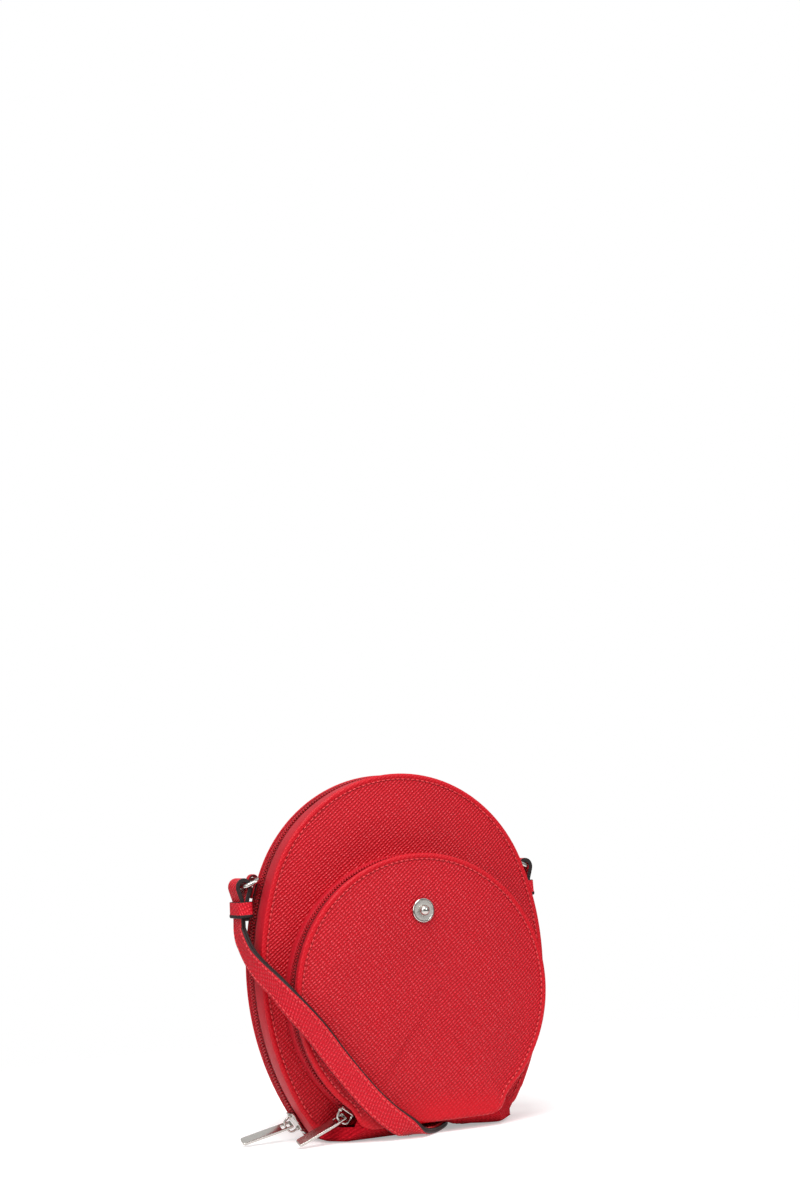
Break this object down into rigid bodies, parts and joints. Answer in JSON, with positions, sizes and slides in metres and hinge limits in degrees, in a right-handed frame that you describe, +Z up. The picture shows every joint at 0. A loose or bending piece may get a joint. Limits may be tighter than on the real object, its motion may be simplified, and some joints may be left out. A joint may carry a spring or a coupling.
{
  "type": "phone pouch",
  "caption": "Oval crossbody phone pouch in grained leather with a zipped main compartment, a round zipped front pocket, a ball stud and a flat strap on side rings.",
  "frame": {"origin": "on the surface it stands on, under the middle of the pouch's own box, strap left out", "axes": "+Z up, front pocket towards -Y, +X to the right seen from the front"},
  "size_m": [0.1742, 0.1375, 0.18],
  "materials": {
    "grained_leather": "cross-hatched saffiano grain, satin",
    "smooth_leather": "smooth, soft sheen",
    "strap_leather": "grained face, dark painted edges",
    "zip_tape": "woven polyester tape",
    "zip_coil": "moulded nylon coil",
    "lining": "plain woven lining",
    "board": "pressed fibre board",
    "nickel": "polished nickel plate"
  },
  "bodies": {
    "root": {"front_panel": "grained_leather", "rear_panel": "grained_leather", "front_gusset": "smooth_leather", "rear_gusset": "smooth_leather", "base_panel": "grained_leather", "base_side_left": "grained_leather", "base_side_right": "grained_leather", "base_stiffener": "board", "main_lining": "lining", "main_zip_tape_front": "zip_tape", "main_zip_tape_rear": "zip_tape", "main_zip_coil_front": "zip_coil", "main_zip_coil_rear": "zip_coil", "main_zip_stop_left": "nickel", "main_zip_stop_right": "nickel", "pocket_panel": "grained_leather", "pocket_front_gusset": "smooth_leather", "pocket_rear_gusset": "smooth_leather", "pocket_lining": "lining", "pocket_zip_tape_front": "zip_tape", "pocket_zip_tape_rear": "zip_tape", "pocket_zip_coil_front": "zip_coil", "pocket_zip_coil_rear": "zip_coil", "pocket_zip_stop_left": "nickel", "pocket_zip_stop_right": "nickel", "stud_cap": "nickel", "stud_washer": "nickel", "ring_tab_left": "smooth_leather", "ring_tab_right": "smooth_leather", "strap_front_run": "strap_leather", "strap_coil": "strap_leather", "strap_rear_run": "strap_leather"},
    "main_slider_body": {"main_slider": "nickel"},
    "main_puller_body": {"main_puller": "nickel"},
    "pocket_slider_body": {"pocket_slider": "nickel"},
    "pocket_puller_body": {"pocket_puller": "nickel"},
    "left_ring_body": {"ring_left": "nickel", "strap_end_left": "strap_leather", "keeper_left": "strap_leather"},
    "right_ring_body": {"ring_right": "nickel", "strap_end_right": "strap_leather", "keeper_right": "strap_leather"}
  },
  "joints": [
    {"name": "main_zip_travel", "type": "hinge", "parent": "root", "child": "main_slider_body", "pos_m": [0.06226, 0.01435, 0.082], "axis": [0, 1, 0], "range_deg": [0, 25]},
    {"name": "main_puller_swing", "type": "hinge", "parent": "main_slider_body", "child": "main_puller_body", "pos_m": [-0.05873, 0.01435, 0.00787], "axis": [0, 1, 0], "range_deg": [0, 55]},
    {"name": "pocket_zip_travel", "type": "hinge", "parent": "root", "child": "pocket_slider_body", "pos_m": [0.00286, -0.01335, 0.07], "axis": [0, 1, 0], "range_deg": [0, 30]},
    {"name": "pocket_puller_swing", "type": "hinge", "parent": "pocket_slider_body", "child": "pocket_puller_body", "pos_m": [-0.04124, -0.01335, 0.01246], "axis": [0, 1, 0], "range_deg": [0, 55]},
    {"name": "left_ring_swing", "type": "hinge", "parent": "root", "child": "left_ring_body", "pos_m": [-0.07074, 0.01495, 0.1306], "axis": [0, 1, 0], "range_deg": [0, 50]},
    {"name": "right_ring_swing", "type": "hinge", "parent": "root", "child": "right_ring_body", "pos_m": [0.07646, 0.02115, 0.1306], "axis": [0, 1, 0], "range_deg": [-50, 0]}
  ]
}
